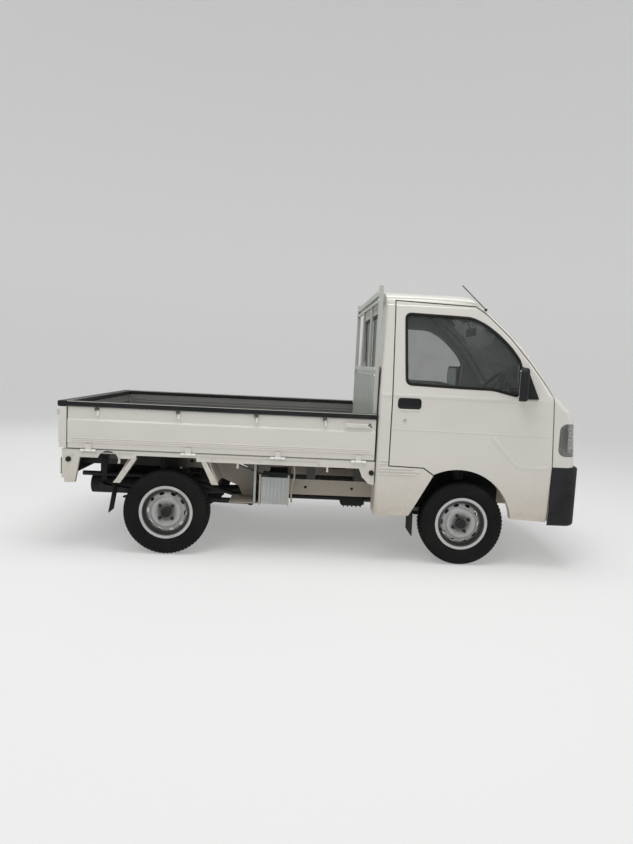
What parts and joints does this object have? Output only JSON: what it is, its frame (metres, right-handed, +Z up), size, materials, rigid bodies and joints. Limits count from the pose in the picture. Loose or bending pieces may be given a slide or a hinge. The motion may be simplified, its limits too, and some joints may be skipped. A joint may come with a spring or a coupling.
{
  "type": "kei truck",
  "caption": "Small right-hand-drive cab-over truck: two-seat cab over the front wheels, fold-down flat load bed, headboard.",
  "frame": {"origin": "on the ground, half way along and across the truck", "axes": "+X forward, +Y to the truck's left, +Z up"},
  "size_m": [3.395, 1.8136, 1.7961],
  "materials": {
    "body_paint": "gloss",
    "frame_paint": "satin",
    "headboard_paint": "satin",
    "black_plastic": "matt",
    "interior_plastic": "matt",
    "window_glass": "clear",
    "lamp_glass": "clear",
    "red_lens": "gloss",
    "seat_vinyl": "satin",
    "wheel_steel": "satin",
    "tyre_rubber": "matt",
    "flap_rubber": "matt",
    "under_steel": "matt",
    "cast_metal": "rough",
    "grey_plastic": "satin"
  },
  "bodies": {
    "chassis": {"cab_back_panel": "body_paint", "cab_side_right": "body_paint", "cab_side_left": "body_paint", "cab_roof": "body_paint", "cab_front_panel": "body_paint", "cab_floor": "body_paint", "bed_deck": "body_paint", "bed_frame": "body_paint", "rear_mudguards": "body_paint", "headboard_frame": "headboard_paint", "headboard_panel": "headboard_paint", "frame_rails": "frame_paint", "frame_cross_members": "frame_paint", "front_bumper": "black_plastic", "aerial": "black_plastic", "dashboard": "interior_plastic", "windscreen": "window_glass", "rear_window": "window_glass", "headlamps": "lamp_glass", "tail_lamps": "red_lens", "seat_cushions": "seat_vinyl", "seat_backs": "seat_vinyl", "rear_axle": "under_steel", "rear_suspension": "under_steel", "front_suspension": "under_steel", "steering_rack": "under_steel", "propeller_shaft": "under_steel", "exhaust": "under_steel", "fuel_tank": "under_steel", "engine": "cast_metal", "gearbox": "cast_metal", "battery_box": "grey_plastic", "mud_flaps": "flap_rubber", "spare_wheel": "tyre_rubber"},
    "door_right_body": {"door_right": "body_paint", "door_glass_right": "window_glass", "mirror_right": "black_plastic"},
    "door_left_body": {"door_left": "body_paint", "door_glass_left": "window_glass", "mirror_left": "black_plastic"},
    "side_gate_right_body": {"side_gate_right": "body_paint"},
    "side_gate_left_body": {"side_gate_left": "body_paint"},
    "tailgate_body": {"tailgate": "body_paint"},
    "knuckle_right_body": {"knuckle_right": "under_steel"},
    "knuckle_left_body": {"knuckle_left": "under_steel"},
    "steering_wheel_body": {"steering_wheel": "interior_plastic"},
    "wheel_front_right": {"tyre_front_right": "tyre_rubber", "rim_front_right": "wheel_steel"},
    "wheel_front_left": {"tyre_front_left": "tyre_rubber", "rim_front_left": "wheel_steel"},
    "wheel_rear_right": {"tyre_rear_right": "tyre_rubber", "rim_rear_right": "wheel_steel"},
    "wheel_rear_left": {"tyre_rear_left": "tyre_rubber", "rim_rear_left": "wheel_steel"}
  },
  "joints": [
    {"name": "steer_left", "type": "hinge", "parent": "chassis", "child": "knuckle_left_body", "pos_m": [0.8925, 0.588, 0.16], "axis": [0, -0.1723, 0.985], "range_deg": [-35, 35]},
    {"name": "steer_right", "type": "hinge", "parent": "chassis", "child": "knuckle_right_body", "pos_m": [0.8925, -0.588, 0.16], "axis": [0, 0.1723, 0.985], "range_deg": [-35, 35]},
    {"name": "steering_wheel_turn", "type": "hinge", "parent": "chassis", "child": "steering_wheel_body", "pos_m": [1.1125, -0.33, 1.12], "axis": [-0.766, 0, 0.6428], "range_deg": [-540, 540]},
    {"name": "door_right_swing", "type": "hinge", "parent": "chassis", "child": "door_right_body", "pos_m": [1.4145, -0.728, 0.6], "axis": [0, 0, 1], "range_deg": [0, 65]},
    {"name": "door_left_swing", "type": "hinge", "parent": "chassis", "child": "door_left_body", "pos_m": [1.4145, 0.728, 0.6], "axis": [0, 0, -1], "range_deg": [0, 65]},
    {"name": "side_gate_right_fold", "type": "hinge", "parent": "chassis", "child": "side_gate_right_body", "pos_m": [-0.66, -0.731, 0.653], "axis": [1, 0, 0], "range_deg": [0, 175]},
    {"name": "side_gate_left_fold", "type": "hinge", "parent": "chassis", "child": "side_gate_left_body", "pos_m": [-0.66, 0.731, 0.653], "axis": [-1, 0, 0], "range_deg": [0, 175]},
    {"name": "tailgate_fold", "type": "hinge", "parent": "chassis", "child": "tailgate_body", "pos_m": [-1.6785, 0, 0.653], "axis": [0, -1, 0], "range_deg": [0, 175]},
    {"name": "wheel_front_right_spin", "type": "hinge", "parent": "knuckle_right_body", "child": "wheel_front_right", "pos_m": [0.8925, -0.65, 0.271], "axis": [0, 1, 0], "continuous": true},
    {"name": "wheel_front_left_spin", "type": "hinge", "parent": "knuckle_left_body", "child": "wheel_front_left", "pos_m": [0.8925, 0.65, 0.271], "axis": [0, 1, 0], "continuous": true},
    {"name": "wheel_rear_right_spin", "type": "hinge", "parent": "chassis", "child": "wheel_rear_right", "pos_m": [-1.0075, -0.65, 0.271], "axis": [0, 1, 0], "continuous": true},
    {"name": "wheel_rear_left_spin", "type": "hinge", "parent": "chassis", "child": "wheel_rear_left", "pos_m": [-1.0075, 0.65, 0.271], "axis": [0, 1, 0], "continuous": true}
  ],
  "couplings": [
    {"joint": "steer_right", "follows": "steer_left", "ratio": 1},
    {"joint": "steering_wheel_turn", "follows": "steer_left", "ratio": 15}
  ]
}
